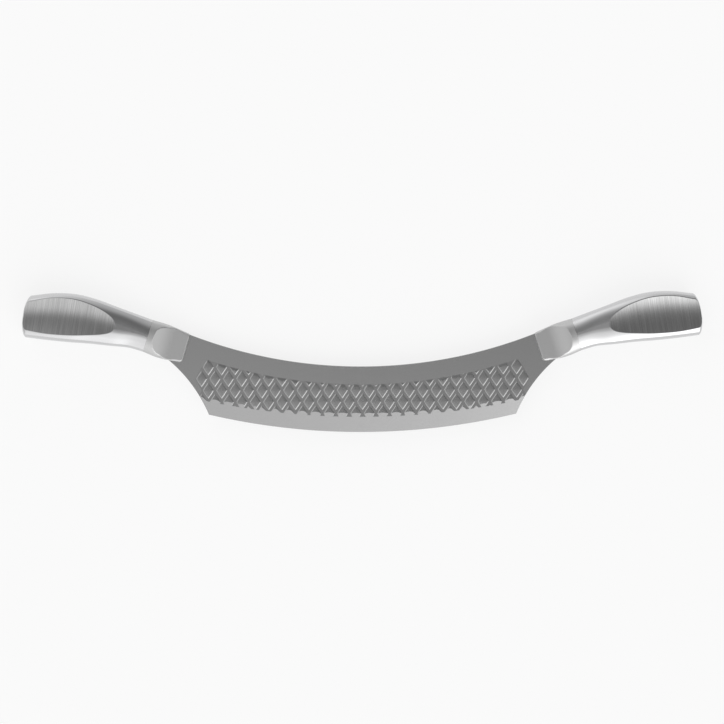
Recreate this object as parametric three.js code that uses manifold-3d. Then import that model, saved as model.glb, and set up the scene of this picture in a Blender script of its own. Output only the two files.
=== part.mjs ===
// A two-handled cheese knife lying flat: +X along the knife, +Y towards the spine, +Z up.
// Lengths are in millimetres and angles in degrees.
import * as THREE from "three";
import { mergeGeometries, mergeVertices } from "three/addons/utils/BufferGeometryUtils.js";
import Module from "manifold-3d";

const wasm = await Module();
wasm.setup();

// Blade plate: edge and spine are arcs, lowest in the middle, and a concave heel leads up to each bolster.
const EDGE_LENGTH = 181.2; // straight from tip to tip
const EDGE_RADIUS = 395;
const EDGE_LAND = 0.24; // thickness left at the cutting edge
const BEVEL_DEPTH = 9; // ground bevel in the middle, from the edge up to the plain face
const BEVEL_TAPER = 1.5; // the bevel is narrower by this much at the tips
const SPINE_RADIUS = 280;
const BLADE_DEPTH = 38.7; // edge to spine in the middle
const BLADE_THICKNESS = 2.2;
const HEEL_RADIUS = 84;
const HEEL_SEAT = 8.2; // from the cheek end to where the heel meets the bolster's underside
const TANG_HEIGHT = 10;
const TANG_REACH = 34; // past the seam, into the handle

// Pressed scales: a staggered lattice of raised diamonds on both faces.
const SCALE_PITCH = 7.9;
const SCALE_ROW_PITCH = 6.88;
const SCALE_ROWS = 5;
const FIRST_ROW_HEIGHT = 11; // row centre above the lowest point of the edge
const SCALE_WIDTH = 6.5;
const SCALE_HEIGHT = 9.8;
const SCALE_WALL = 0.45; // width of the sloping wall
const SCALE_RELIEF = 0.2;
const SMOOTH_BAND = 10; // plain band along the spine
const SCALE_FADE = 3.5; // the scales rise to their full height over this distance

// Bolster: two cheeks clasp the blade, and a spigot carries the handle shells.
const CHEEK_SPACING = 202.4; // between the cheek ends of the two bolsters, along the spine
const AXIS_BELOW_SPINE = 8; // bolster axis below the spine at the cheek end
const BOLSTER_TILT = 17.5;
const BOLSTER_LENGTH = 23.3; // cheek end to seam
const CHEEK_THICKNESS = 7.2; // over both flats
const CHEEK_FLAT = 8; // length of the flat
const CHEEK_RUN_OUT = 29; // radius that leads the flat up into the round neck
const CHEEK_CORNER = 2; // radius of the cheek's lower corner
const CHEEK_TOP_CORNER = 1.2;
const CHEEK_CHAMFER = 0.6;
const CHEEK_POWER = 8; // squareness of the section at the cheeks
const SPIGOT_LENGTH = 7;
const SLOT_DEPTH = 16.3; // blade slot, from the cheek end

// Handle: pressed half shells over a filler core.
const HANDLE_TILT = 9;
const BEND_RUN = 20; // the handle turns from the bolster's tilt to its own over this length
const BUTT_DEPTH = 3.6; // domed end
const BUTT_POWER = 4; // squareness of the domed end, seen from the side
const HOLLOW_THICKNESS = 15.4; // across the grip, over the floors of both hollows
const HOLLOW_RADIUS = 80;
const NECK_POWER = 2.6; // squareness of the neck's section
const TOP_POWER = 3.8; // squareness of the grip's rounded top and bottom
const BOTTOM_POWER = 3.2;
const WALL = 1.2;

// Clearances
const SEAM_GAP = 0.2; // bolster to shells
const SHELL_GAP = 0.1; // front shell to rear shell
const SLOT_GAP = 0.15; // blade to bolster slot, on each side
const FIT = 0.3; // between the pieces inside the handle

// Handle sections from the seam to the butt: place along the axis, reach above and below it, and thickness
// before the grip is hollowed.
const NECK_ABOVE = 9.8;
const NECK_BELOW = 9.9;
const NECK_THICK = 12.5;
const THROAT_PLACE = 10;
const THROAT_ABOVE = 11.9;
const THROAT_BELOW = 8.7;
const THROAT_THICK = 13.8;
const WAIST_PLACE = 22;
const WAIST_ABOVE = 14.5;
const WAIST_BELOW = 9.3;
const WAIST_THICK = 15.75;
const SWELL_PLACE = 34;
const SWELL_ABOVE = 16.9;
const SWELL_BELOW = 9.9;
const SWELL_THICK = 17.7;
const PALM_PLACE = 46;
const PALM_ABOVE = 17.9;
const PALM_BELOW = 10.9;
const PALM_THICK = 19.3;
const TAPER_PLACE = 59;
const TAPER_ABOVE = 16.45;
const TAPER_BELOW = 11.6;
const TAPER_THICK = 19.6;
const GRIP_LENGTH = 71;
const BUTT_ABOVE = 13.25;
const BUTT_BELOW = 11.9;
const BUTT_THICK = 18;

// Bolster sections from the cheek end. The last one is the handle's first.
const CHEEK_ABOVE = 8.3;
const CHEEK_BELOW = 9;
const CHEEK_BODY = 7.8; // thickness before the flats are cut
const SHOULDER_PLACE = 5;
const SHOULDER_ABOVE = 8.85;
const SHOULDER_BELOW = 9.7;
const RISE_PLACE = 14;
const RISE_ABOVE = 9.85;
const RISE_BELOW = 10.65;
const RISE_THICK = 12;

// Steps in the curved surfaces
const EDGE_STEPS = 40;
const SPINE_STEPS = 32;
const HEEL_STEPS = 12;
const RIM_STEPS = 4; // round each rim of a section
const RIM_LIMIT = 84; // a rim with no ground face to meet ends here, in degrees
const HALVINGS = 40; // of the angle, to find where rim and face meet
const FACE_STEPS = 4; // across a ground face
const GRIP_STEPS = 13;
const BUTT_ANGLES = [25, 50, 70, 82]; // rows of the domed end
const BEVEL_STEPS = 30;
const BEVEL_ANGLE = 30; // the grinding arc, each way from the middle of the edge
const SURPLUS = 1; // cutters reach past what they cut by this much

const HANDLE_SECTIONS = [
  { along: 0, above: NECK_ABOVE, below: NECK_BELOW, thick: NECK_THICK },
  { along: THROAT_PLACE, above: THROAT_ABOVE, below: THROAT_BELOW, thick: THROAT_THICK },
  { along: WAIST_PLACE, above: WAIST_ABOVE, below: WAIST_BELOW, thick: WAIST_THICK },
  { along: SWELL_PLACE, above: SWELL_ABOVE, below: SWELL_BELOW, thick: SWELL_THICK },
  { along: PALM_PLACE, above: PALM_ABOVE, below: PALM_BELOW, thick: PALM_THICK },
  { along: TAPER_PLACE, above: TAPER_ABOVE, below: TAPER_BELOW, thick: TAPER_THICK },
  { along: GRIP_LENGTH, above: BUTT_ABOVE, below: BUTT_BELOW, thick: BUTT_THICK },
];
const BOLSTER_SECTIONS = [
  { along: 0, above: CHEEK_ABOVE, below: CHEEK_BELOW, thick: CHEEK_BODY },
  { along: SHOULDER_PLACE, above: SHOULDER_ABOVE, below: SHOULDER_BELOW, thick: CHEEK_BODY },
  { along: RISE_PLACE, above: RISE_ABOVE, below: RISE_BELOW, thick: RISE_THICK },
  { along: BOLSTER_LENGTH, above: NECK_ABOVE, below: NECK_BELOW, thick: NECK_THICK },
];

const { lerp, smoothstep, degToRad } = THREE.MathUtils;
const BEND = degToRad(BOLSTER_TILT - HANDLE_TILT);

const edgeHeight = (x) => EDGE_RADIUS - Math.sqrt(EDGE_RADIUS ** 2 - x ** 2);
const spineHeight = (x) => BLADE_DEPTH + SPINE_RADIUS - Math.sqrt(SPINE_RADIUS ** 2 - x ** 2);
const steps = (count) => Array.from({ length: count + 1 }, (_, i) => i / count);

// The bolster's frame lies in the blade's, on its axis at the cheek end; the handle's lies in the bolster's.
const cheekTop = new THREE.Vector2(CHEEK_SPACING / 2, spineHeight(CHEEK_SPACING / 2));
const bolsterFrame = new THREE.Matrix4()
  .makeRotationZ(degToRad(BOLSTER_TILT))
  .setPosition(
    cheekTop.x + AXIS_BELOW_SPINE * Math.sin(degToRad(BOLSTER_TILT)),
    cheekTop.y - AXIS_BELOW_SPINE * Math.cos(degToRad(BOLSTER_TILT)),
    0,
  );
const handleFrame = new THREE.Matrix4().makeRotationZ(-BEND).setPosition(BOLSTER_LENGTH + SEAM_GAP, 0, 0);

// Solids for joining and cutting

function solidOf(geometry) {
  const bare = geometry.clone();
  bare.deleteAttribute("normal");
  bare.deleteAttribute("uv");
  const merged = mergeVertices(bare);
  return new wasm.Manifold(
    new wasm.Mesh({
      numProp: 3,
      vertProperties: merged.attributes.position.array,
      triVerts: new Uint32Array(merged.index.array),
    }),
  );
}

function geometryOf(solid) {
  const mesh = solid.getMesh();
  const geometry = new THREE.BufferGeometry();
  geometry.setAttribute("position", new THREE.BufferAttribute(mesh.vertProperties, 3));
  geometry.setIndex(new THREE.BufferAttribute(mesh.triVerts, 1));
  return geometry;
}

function geometryFrom(points, triangles) {
  return new THREE.BufferGeometry().setFromPoints(points).setIndex(triangles.flat());
}

// Quads between the points of a grid, each as two triangles.
function gridTriangles(rows, columns, vertex) {
  const triangles = [];
  for (let i = 0; i < rows - 1; i++) {
    for (let j = 0; j < columns - 1; j++) {
      triangles.push([vertex(i, j), vertex(i + 1, j), vertex(i, j + 1)]);
      triangles.push([vertex(i + 1, j), vertex(i + 1, j + 1), vertex(i, j + 1)]);
    }
  }
  return triangles;
}

// A solid through closed rings of points, with a fan on each end.
function loft(rings) {
  const count = rings[0].length;
  const points = rings.flat();
  const vertex = (i, j) => i * count + (j % count);
  const triangles = gridTriangles(rings.length, count + 1, vertex);
  const last = rings.length - 1;
  const centreOf = (ring) => ring.reduce((sum, p) => sum.add(p), new THREE.Vector3()).divideScalar(count);
  points.push(centreOf(rings[0]), centreOf(rings[last]));
  const start = points.length - 2;
  const end = points.length - 1;
  for (let j = 0; j < count; j++) {
    triangles.push([start, vertex(0, j), vertex(0, j + 1)]);
    triangles.push([end, vertex(last, j + 1), vertex(last, j)]);
  }
  return geometryFrom(points, triangles);
}

// A wall between an outer and an inner grid of points, closed along all four borders.
function wallBetween(outer, inner) {
  const rows = outer.length;
  const columns = outer[0].length;
  const outside = (i, j) => i * columns + j;
  const inside = (i, j) => rows * columns + outside(i, j);
  const triangles = gridTriangles(rows, columns, outside);
  for (const [a, b, c] of gridTriangles(rows, columns, inside)) {
    triangles.push([a, c, b]);
  }
  const border = [];
  for (let i = 0; i < rows - 1; i++) border.push([i, 0]);
  for (let j = 0; j < columns - 1; j++) border.push([rows - 1, j]);
  for (let i = rows - 1; i > 0; i--) border.push([i, columns - 1]);
  for (let j = columns - 1; j > 0; j--) border.push([0, j]);
  border.forEach((p, k) => {
    const q = border[(k + 1) % border.length];
    triangles.push([outside(...p), inside(...p), outside(...q)]);
    triangles.push([inside(...p), inside(...q), outside(...q)]);
  });
  return geometryFrom([...outer.flat(), ...inner.flat()], triangles);
}

// Sections of the bolster and the handle

// Reach and thickness at any place, on a smooth curve through the listed sections.
function smoothSections(sections) {
  const places = sections.map((s) => s.along);
  const sizes = sections.flatMap((s) => [s.above, s.below, s.thick]);
  const curve = new THREE.CubicInterpolant(places, sizes, 3, new Float64Array(3));
  return (along) => {
    const [above, below, thick] = curve.evaluate(along);
    return { centre: (above - below) / 2, reach: (above + below) / 2, thick };
  };
}
const bolsterSizes = smoothSections(BOLSTER_SECTIONS);
const handleSizes = smoothSections(HANDLE_SECTIONS);

// Points of one rim, from the mid-plane up to the ground face.
function rimPoints(pointAt, face) {
  const below = (angle) => pointAt(angle).y < face(pointAt(angle).x);
  let low = 0;
  let high = degToRad(RIM_LIMIT);
  for (let i = 0; i < HALVINGS; i++) {
    const middle = (low + high) / 2;
    if (below(middle)) low = middle;
    else high = middle;
  }
  return steps(RIM_STEPS).map((t) => pointAt(t * low));
}

// Half a section, from the bottom of the mid-plane round the +Z side to the top: two superellipse rims,
// with a ground face between them where the body is thick enough to reach it.
function halfSection({ centre, reach, thick }, lowPower, highPower, face) {
  const rim = (side, power) => (angle) =>
    new THREE.Vector2(
      centre + side * reach * Math.cos(angle) ** (2 / power),
      (thick / 2) * Math.sin(angle) ** (2 / power),
    );
  const body = (v) => {
    const power = v < centre ? lowPower : highPower;
    return (thick / 2) * (1 - Math.abs((v - centre) / reach) ** power) ** (1 / power);
  };
  const low = rimPoints(rim(-1, lowPower), face);
  const high = rimPoints(rim(1, highPower), face);
  const ground = steps(FACE_STEPS)
    .slice(1, -1)
    .map((t) => lerp(low.at(-1).x, high.at(-1).x, t))
    .map((v) => new THREE.Vector2(v, Math.min(face(v), body(v))));
  return [...low, ...ground, ...high.reverse()];
}

// The whole ring of a half section and its mirror image behind the mid-plane.
function ringOf(half) {
  const behind = half.slice(1, -1).reverse();
  return [...half, ...behind.map((p) => new THREE.Vector3(p.x, p.y, -p.z))];
}

// How much a rounded corner takes off at a place along the axis.
function cornerCut(radius, along) {
  const left = Math.max(0, radius - along);
  return radius - Math.sqrt(radius ** 2 - left ** 2);
}

// Half section of the bolster: square at the cheeks, round at the seam, with the flat and its run-out.
function bolsterHalf(along, inset = 0) {
  const { centre, reach, thick } = bolsterSizes(along);
  const cheek = 1 - smoothstep(along, SHOULDER_PLACE, RISE_PLACE);
  const lowCut = cornerCut(CHEEK_CORNER, along);
  const topCut = cornerCut(CHEEK_TOP_CORNER, along);
  const past = THREE.MathUtils.clamp(along - CHEEK_FLAT, 0, CHEEK_RUN_OUT);
  const runOut = CHEEK_RUN_OUT - Math.sqrt(CHEEK_RUN_OUT ** 2 - past ** 2);
  const face = () => CHEEK_THICKNESS / 2 + runOut - inset;
  const sizes = {
    centre: centre + (lowCut - topCut) / 2,
    reach: reach - (lowCut + topCut) / 2 - inset,
    thick: thick - 2 * inset,
  };
  const power = lerp(NECK_POWER, CHEEK_POWER, cheek);
  const half = halfSection(sizes, power, power, face);
  return half.map((p) => new THREE.Vector3(along, p.x, p.y));
}

// Half section of the handle, drawn in by an inset. Past the grip's end, the butt angle runs up the dome.
function handleHalf(along, inset, buttAngle = 0) {
  const { centre, reach, thick } = handleSizes(along);
  const shrink = Math.cos(buttAngle);
  const thinning = (1 - Math.sin(buttAngle) ** BUTT_POWER) ** (1 / BUTT_POWER);
  const sizes = { centre, reach: (reach - inset) * shrink, thick: (thick - 2 * inset) * thinning };
  const face = (v) => HOLLOW_THICKNESS / 2 + (v - centre) ** 2 / (2 * HOLLOW_RADIUS) - inset;
  const tilt = BEND * (1 - smoothstep(along, 0, BEND_RUN));
  const place = along + (BUTT_DEPTH - inset) * Math.sin(buttAngle);
  const power = (grip) => lerp(NECK_POWER, grip, smoothstep(along, 0, BEND_RUN));
  const half = halfSection(sizes, power(BOTTOM_POWER), power(TOP_POWER), face);
  return half.map((p) => new THREE.Vector3(place - p.x * Math.sin(tilt), p.x * Math.cos(tilt), p.y));
}

// Blade

// Points on an arc between two points. A positive radius bulges to the right of the way along it.
function arcPoints(from, to, radius, count) {
  const chord = to.clone().sub(from);
  const half = chord.length() / 2;
  const left = new THREE.Vector2(-chord.y, chord.x).normalize();
  const offset = Math.sign(radius) * Math.sqrt(radius ** 2 - half ** 2);
  const centre = from.clone().lerp(to, 0.5).addScaledVector(left, offset);
  const turn = 2 * Math.asin(half / radius);
  return steps(count).map((t) => from.clone().rotateAround(centre, t * turn));
}

// A point of the bolster's side view, in the blade's frame.
function bolsterPoint(along, up) {
  const point = new THREE.Vector3(along, up, 0).applyMatrix4(bolsterFrame);
  return new THREE.Vector2(point.x, point.y);
}

// The blade's right end, from the edge's tip round the heel, the root in the slot and the tang to the spine.
function rightEndPoints() {
  const tip = new THREE.Vector2(EDGE_LENGTH / 2, edgeHeight(EDGE_LENGTH / 2));
  const rootEnd = SLOT_DEPTH - FIT;
  const tangEnd = BOLSTER_LENGTH + SEAM_GAP + TANG_REACH;
  const under = (along) => bolsterSizes(along).centre - bolsterSizes(along).reach + SLOT_GAP;
  const over = (along) => bolsterSizes(along).centre + bolsterSizes(along).reach - SLOT_GAP;
  const heel = arcPoints(tip, bolsterPoint(HEEL_SEAT, under(HEEL_SEAT)), -HEEL_RADIUS, HEEL_STEPS);
  const tang = [
    bolsterPoint(rootEnd, under(rootEnd)),
    bolsterPoint(rootEnd, -TANG_HEIGHT / 2),
    bolsterPoint(tangEnd, -TANG_HEIGHT / 2),
    bolsterPoint(tangEnd, TANG_HEIGHT / 2),
    bolsterPoint(rootEnd, TANG_HEIGHT / 2),
  ];
  const root = [1, 2 / 3, 1 / 3].map((t) => bolsterPoint(t * rootEnd, over(t * rootEnd)));
  return [...heel, ...tang, ...root, cheekTop];
}

function bladeOutline() {
  const right = rightEndPoints();
  const left = right.map((p) => new THREE.Vector2(-p.x, p.y)).reverse();
  const edge = arcPoints(left.at(-1), right[0], EDGE_RADIUS, EDGE_STEPS);
  const spine = arcPoints(right.at(-1), left[0], -SPINE_RADIUS, SPINE_STEPS);
  return new THREE.Shape([...edge.slice(1), ...right.slice(1), ...spine.slice(1), ...left.slice(1)]);
}

function plate(shape, thickness) {
  const geometry = new THREE.ExtrudeGeometry(shape, { depth: thickness, bevelEnabled: false });
  return solidOf(geometry.translate(0, 0, -thickness / 2));
}

// The room between the two ground bevels: a wedge swept along the edge's arc, sharp just below the edge.
function bevelWedge() {
  const tipAngle = Math.asin(EDGE_LENGTH / 2 / EDGE_RADIUS);
  const thickRadius = EDGE_RADIUS / 2;
  const rings = steps(BEVEL_STEPS).map((t) => {
    const angle = degToRad(lerp(-BEVEL_ANGLE, BEVEL_ANGLE, t));
    const depth = BEVEL_DEPTH - BEVEL_TAPER * Math.min(1, (angle / tipAngle) ** 2);
    const slope = (BLADE_THICKNESS - EDGE_LAND) / 2 / depth;
    const sharpRadius = EDGE_RADIUS + EDGE_LAND / 2 / slope;
    const half = slope * (sharpRadius - thickRadius);
    const at = (radius, z) =>
      new THREE.Vector3(radius * Math.sin(angle), EDGE_RADIUS - radius * Math.cos(angle), z);
    return [at(sharpRadius, 0), at(thickRadius, half), at(thickRadius, -half)];
  });
  return solidOf(loft(rings));
}

// How far a point of a scale stands above the face: full relief, sinking into the face near the spine.
function scaleRise(x, y) {
  const belowSpine = Math.hypot(x, BLADE_DEPTH + SPINE_RADIUS - y) - SPINE_RADIUS;
  return SCALE_RELIEF * Math.min(1, (belowSpine - SMOOTH_BAND) / SCALE_FADE);
}

// One raised diamond. Its foot is sunk into the plate, so that its sloping walls rise out of the face.
function scale(x, y) {
  const sunk = SCALE_WALL / 2;
  const slope = SCALE_RELIEF / SCALE_WALL;
  const ring = (grow, drop) => {
    const across = SCALE_WIDTH / 2 + grow;
    const high = (SCALE_HEIGHT / SCALE_WIDTH) * across;
    const corners = [[0, high], [across, 0], [0, -high], [-across, 0]];
    return corners.map(([dx, dy]) => {
      const rise = scaleRise(x + dx, y + dy);
      return new THREE.Vector3(x + dx, y + dy, BLADE_THICKNESS / 2 + rise - drop);
    });
  };
  return loft([ring(sunk, SCALE_RELIEF + slope * sunk), ring(-SCALE_WALL, 0)]);
}

// The scales of the front face, and the same ones turned round to the rear face.
function scales() {
  const lastCentre = EDGE_LENGTH / 2 + SCALE_WIDTH;
  const front = [];
  for (let row = 0; row < SCALE_ROWS; row++) {
    const height = FIRST_ROW_HEIGHT + row * SCALE_ROW_PITCH;
    const first = row % 2 ? 0 : SCALE_PITCH / 2;
    for (let x = first; x <= lastCentre; x += SCALE_PITCH) {
      const shows = scaleRise(x, height - SCALE_HEIGHT / 2) > 0;
      const places = x ? [x, -x] : [x];
      if (shows) front.push(...places.map((place) => scale(place, height)));
    }
  }
  const face = mergeGeometries(front);
  return solidOf(mergeGeometries([face, face.clone().rotateY(Math.PI)]));
}

function bladeGeometry() {
  const outline = bladeOutline();
  const reach = CHEEK_SPACING + 2 * (BOLSTER_LENGTH + TANG_REACH);
  const slab = solidOf(new THREE.BoxGeometry(reach, reach, BLADE_THICKNESS));
  const tall = plate(outline, BLADE_THICKNESS + 4 * SCALE_RELIEF);
  return geometryOf(slab.add(scales()).intersect(tall).intersect(bevelWedge()));
}

// Bolster

function bolsterRings() {
  const cheek = [CHEEK_CHAMFER, CHEEK_CORNER / 2, CHEEK_CORNER];
  const flat = steps(4).slice(1).map((t) => lerp(CHEEK_CORNER, CHEEK_FLAT, t));
  const neck = steps(7).slice(1).map((t) => lerp(CHEEK_FLAT, BOLSTER_LENGTH, t));
  const body = [bolsterHalf(0, CHEEK_CHAMFER), ...[...cheek, ...flat, ...neck].map((u) => bolsterHalf(u))];
  const toBolster = (p) => p.applyMatrix4(handleFrame);
  const spigot = steps(3).map((t) => handleHalf(t * SPIGOT_LENGTH, WALL + FIT).map(toBolster));
  const step = spigot[0].map((p) => p.clone().setX(BOLSTER_LENGTH));
  return [...body, step, ...spigot].map(ringOf);
}

// A box along the bolster's axis, for the slot, the mortise and the tang's room in the core.
function axisBox(from, to, height, thickness) {
  return new THREE.BoxGeometry(to - from, height, thickness).translate((from + to) / 2, 0, 0);
}

function bolsterGeometry() {
  const bladeRoom = BLADE_THICKNESS + 2 * SLOT_GAP;
  const slot = solidOf(axisBox(-SURPLUS, SLOT_DEPTH, BLADE_DEPTH, bladeRoom));
  const spigotEnd = BOLSTER_LENGTH + SEAM_GAP + SPIGOT_LENGTH;
  const mortise = solidOf(axisBox(SURPLUS, spigotEnd + TANG_HEIGHT, TANG_HEIGHT + 2 * FIT, bladeRoom));
  return geometryOf(solidOf(loft(bolsterRings())).subtract(slot).subtract(mortise));
}

// Handle

function shellGeometry() {
  const grid = (inset) => {
    const grip = steps(GRIP_STEPS).map((t) => handleHalf(t * GRIP_LENGTH, inset));
    const butt = BUTT_ANGLES.map((angle) => handleHalf(GRIP_LENGTH, inset, degToRad(angle)));
    const { centre } = handleSizes(GRIP_LENGTH);
    const closing = butt.at(-1).map((p) => {
      return new THREE.Vector3(GRIP_LENGTH + BUTT_DEPTH - inset, lerp(p.y, centre, 0.5), 0);
    });
    return [...grip, ...butt, closing];
  };
  return wallBetween(grid(0), grid(WALL));
}

function coreGeometry() {
  const start = SPIGOT_LENGTH + FIT;
  const rings = steps(GRIP_STEPS).map((t) => ringOf(handleHalf(lerp(start, GRIP_LENGTH, t), WALL + FIT)));
  const room = axisBox(0, TANG_REACH + FIT, TANG_HEIGHT + 2 * FIT, BLADE_THICKNESS + 2 * FIT);
  return geometryOf(solidOf(loft(rings)).subtract(solidOf(room.rotateZ(BEND))));
}

// Materials and assembly

const bladeSteel = new THREE.MeshStandardMaterial({ color: 0x85868a, roughness: 0.45, metalness: 1 });
const bolsterSteel = new THREE.MeshStandardMaterial({ color: 0xa6a8ab, roughness: 0.35, metalness: 1 });
const handleSteel = new THREE.MeshStandardMaterial({ color: 0xbfc1c4, roughness: 0.22, metalness: 1 });
const coreFiller = new THREE.MeshStandardMaterial({ color: 0x3c3d40, roughness: 0.8, metalness: 0 });

function piece(name, geometry, material) {
  geometry.computeVertexNormals();
  const mesh = new THREE.Mesh(geometry, material);
  mesh.name = name;
  return mesh;
}

const bolster = bolsterGeometry();
const shell = shellGeometry();
const core = coreGeometry();

// One end of the knife. The left end is the mirror image of the right one.
function knifeEnd(name, mirror) {
  const handle = new THREE.Group();
  handle.applyMatrix4(handleFrame);
  for (const [side, turn] of [["front", 1], ["rear", -1]]) {
    const half = piece(`${name}_handle_${side}_shell`, shell, handleSteel);
    half.scale.z = turn;
    half.position.z = (turn * SHELL_GAP) / 2;
    handle.add(half);
  }
  handle.add(piece(`${name}_handle_core`, core, coreFiller));
  const seated = new THREE.Group();
  seated.applyMatrix4(bolsterFrame);
  seated.add(piece(`${name}_bolster`, bolster, bolsterSteel), handle);
  const end = new THREE.Group();
  end.scale.x = mirror;
  end.add(seated);
  return end;
}

const knife = new THREE.Group();
knife.add(piece("blade", bladeGeometry(), bladeSteel), knifeEnd("left", -1), knifeEnd("right", 1));

// The knife lies on z = 0, centred over the origin.
const box = new THREE.Box3().setFromObject(knife, true);
const middle = box.getCenter(new THREE.Vector3());
knife.position.set(-middle.x, -middle.y, -box.min.z);

export default knife;
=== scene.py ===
# %% [markdown]
# A two-handled cheese knife: a curved steel blade with pressed scales, two bolsters and two hollow steel
# handles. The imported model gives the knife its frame: lying flat, +X along it, +Y towards the spine, +Z
# up. Every piece that shows is made again at a finer resolution, from the same sizes but for a few small
# ones, and takes the place of its solid.

# %% Load the frame
import math

import bmesh
import bpy
import numpy as np
from mathutils import Matrix, Vector


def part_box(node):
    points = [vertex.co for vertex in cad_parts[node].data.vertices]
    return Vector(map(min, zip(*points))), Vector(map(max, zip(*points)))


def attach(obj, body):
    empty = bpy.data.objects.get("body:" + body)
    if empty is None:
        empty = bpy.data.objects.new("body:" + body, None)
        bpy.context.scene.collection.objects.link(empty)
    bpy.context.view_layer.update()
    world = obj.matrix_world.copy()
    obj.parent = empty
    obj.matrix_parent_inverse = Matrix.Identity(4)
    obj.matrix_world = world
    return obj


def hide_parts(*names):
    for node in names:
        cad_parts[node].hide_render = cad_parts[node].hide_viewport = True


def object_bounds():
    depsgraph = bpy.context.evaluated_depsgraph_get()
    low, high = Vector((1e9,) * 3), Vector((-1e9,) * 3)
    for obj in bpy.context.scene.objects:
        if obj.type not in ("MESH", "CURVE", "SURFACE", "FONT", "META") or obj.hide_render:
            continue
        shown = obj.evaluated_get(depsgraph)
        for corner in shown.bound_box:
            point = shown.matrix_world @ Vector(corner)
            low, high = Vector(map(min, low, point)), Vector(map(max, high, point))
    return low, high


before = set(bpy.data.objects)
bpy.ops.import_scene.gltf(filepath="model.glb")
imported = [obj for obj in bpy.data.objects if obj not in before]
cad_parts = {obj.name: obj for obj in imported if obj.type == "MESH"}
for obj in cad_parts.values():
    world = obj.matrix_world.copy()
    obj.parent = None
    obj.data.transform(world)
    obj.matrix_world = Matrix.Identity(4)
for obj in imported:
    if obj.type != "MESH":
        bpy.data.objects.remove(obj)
cad_box = [list(corner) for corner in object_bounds()]
scene = bpy.context.scene
scene.view_settings.view_transform = "Standard"
MM = 0.001
print("frame:", len(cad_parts), "solids, box", cad_box)

# %% [markdown]
# The photograph looks straight down on the knife. A camera could be aimed by eye, but the photograph's
# scale is known once the knife's length is: its frame is as wide as the knife's length over the share of
# the width that the knife fills. A long lens keeps both handles nearly as square to the view as the blade.

# %% Camera
PHOTO_PIXELS = 724
KNIFE_PIXELS = 678.45  # length of the knife in the photograph
KNIFE_CENTRE_PIXEL = (362.35, 362.0)  # middle of the knife's box in the photograph
PHOTO_ROLL = math.radians(0.2)
LENS = 135
SENSOR = 36

knife_length = cad_box[1][0] - cad_box[0][0]
metres_per_pixel = knife_length / KNIFE_PIXELS
blade_low, blade_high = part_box("blade")
mid_plane = (blade_low[2] + blade_high[2]) / 2
camera_data = bpy.data.cameras.new("photo_camera")
camera_data.lens = LENS
camera_data.sensor_width = SENSOR
camera = bpy.data.objects.new("photo_camera", camera_data)
scene.collection.objects.link(camera)
distance = PHOTO_PIXELS * metres_per_pixel * LENS / SENSOR
camera.location = (
    (PHOTO_PIXELS / 2 - KNIFE_CENTRE_PIXEL[0]) * metres_per_pixel,
    (KNIFE_CENTRE_PIXEL[1] - PHOTO_PIXELS / 2) * metres_per_pixel,
    mid_plane + distance,
)
camera.rotation_euler = (0, 0, -PHOTO_ROLL)
scene.camera = camera
print("camera", round(distance, 3), "m above the blade")

# %% [markdown]
# Steel shows its surroundings more than its own colour, so the studio is part of the look. Lamps would
# do, but a world that changes smoothly round the knife's long axis is simpler: dim overhead, where the
# camera is, a wide bright softbox on the edge's side, and a pale horizon. The softbox's edge is turned a
# little and its right end is brighter, and two high lights over opposite corners pick out the edges of
# the scales. The floor is plain, pale and very wide, and it keeps the shadow.

# %% Studio light
LIGHT_LEVEL = 2.2
RIGHT_SHARE = 0.22  # how much brighter the right is on the edge's side
RIGHT_START = 0.15  # how far from overhead the right is fully reached
RIGHT_DIM = 0.5  # how much dimmer the right gets on the spine's side
SIDE_TURN = 0.12  # how far towards the spine's side the edge's side ends
SIDE_FADE = 0.2  # and over what run
CORNER_LIGHT = 6.0  # two high softboxes over the corners, below right and above left
SIDE_SHARE = 0.1  # share of the level at both ends of the long axis
SOFTBOX_SKEW = 0.36  # how far the softbox's edge turns away from the knife's long axis
# Degrees round the long axis from overhead, negative towards the edge's side, and the share of the level
STUDIO_STOPS = [
    (-180, 0.68), (-100, 0.76), (-75, 0.76), (-39, 0.67), (-22, 0.54), (-13, 0.5), (-9, 0.48), (-6, 0.34),
    (-3, 0.18), (0, 0.115), (5, 0.095), (15, 0.095), (24, 0.125), (40, 0.25), (60, 0.34), (90, 0.4),
    (180, 0.68),
]


def link(tree, output, input_socket):
    tree.links.new(output, input_socket)


def math_node(tree, operation, *values):
    """A Math node whose inputs are numbers or other nodes' outputs."""
    node = tree.nodes.new("ShaderNodeMath")
    node.operation = operation
    for socket, value in zip(node.inputs, values):
        if isinstance(value, (int, float)):
            socket.default_value = value
        else:
            link(tree, value, socket)
    return node.outputs[0]


def limited(tree, value, low):
    """A value held between a low limit and 1."""
    return math_node(tree, "MAXIMUM", math_node(tree, "MINIMUM", value, 1.0), low)


def ramp_node(tree, fraction, stops):
    """A colour ramp through (position, grey) stops."""
    node = tree.nodes.new("ShaderNodeValToRGB")
    elements = node.color_ramp.elements
    while len(elements) < len(stops):
        elements.new(0.5)
    for element, (position, grey) in zip(elements, stops):
        element.position = position
        element.color = (grey, grey, grey, 1)
    link(tree, fraction, node.inputs["Fac"])
    return node.outputs["Color"]


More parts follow.
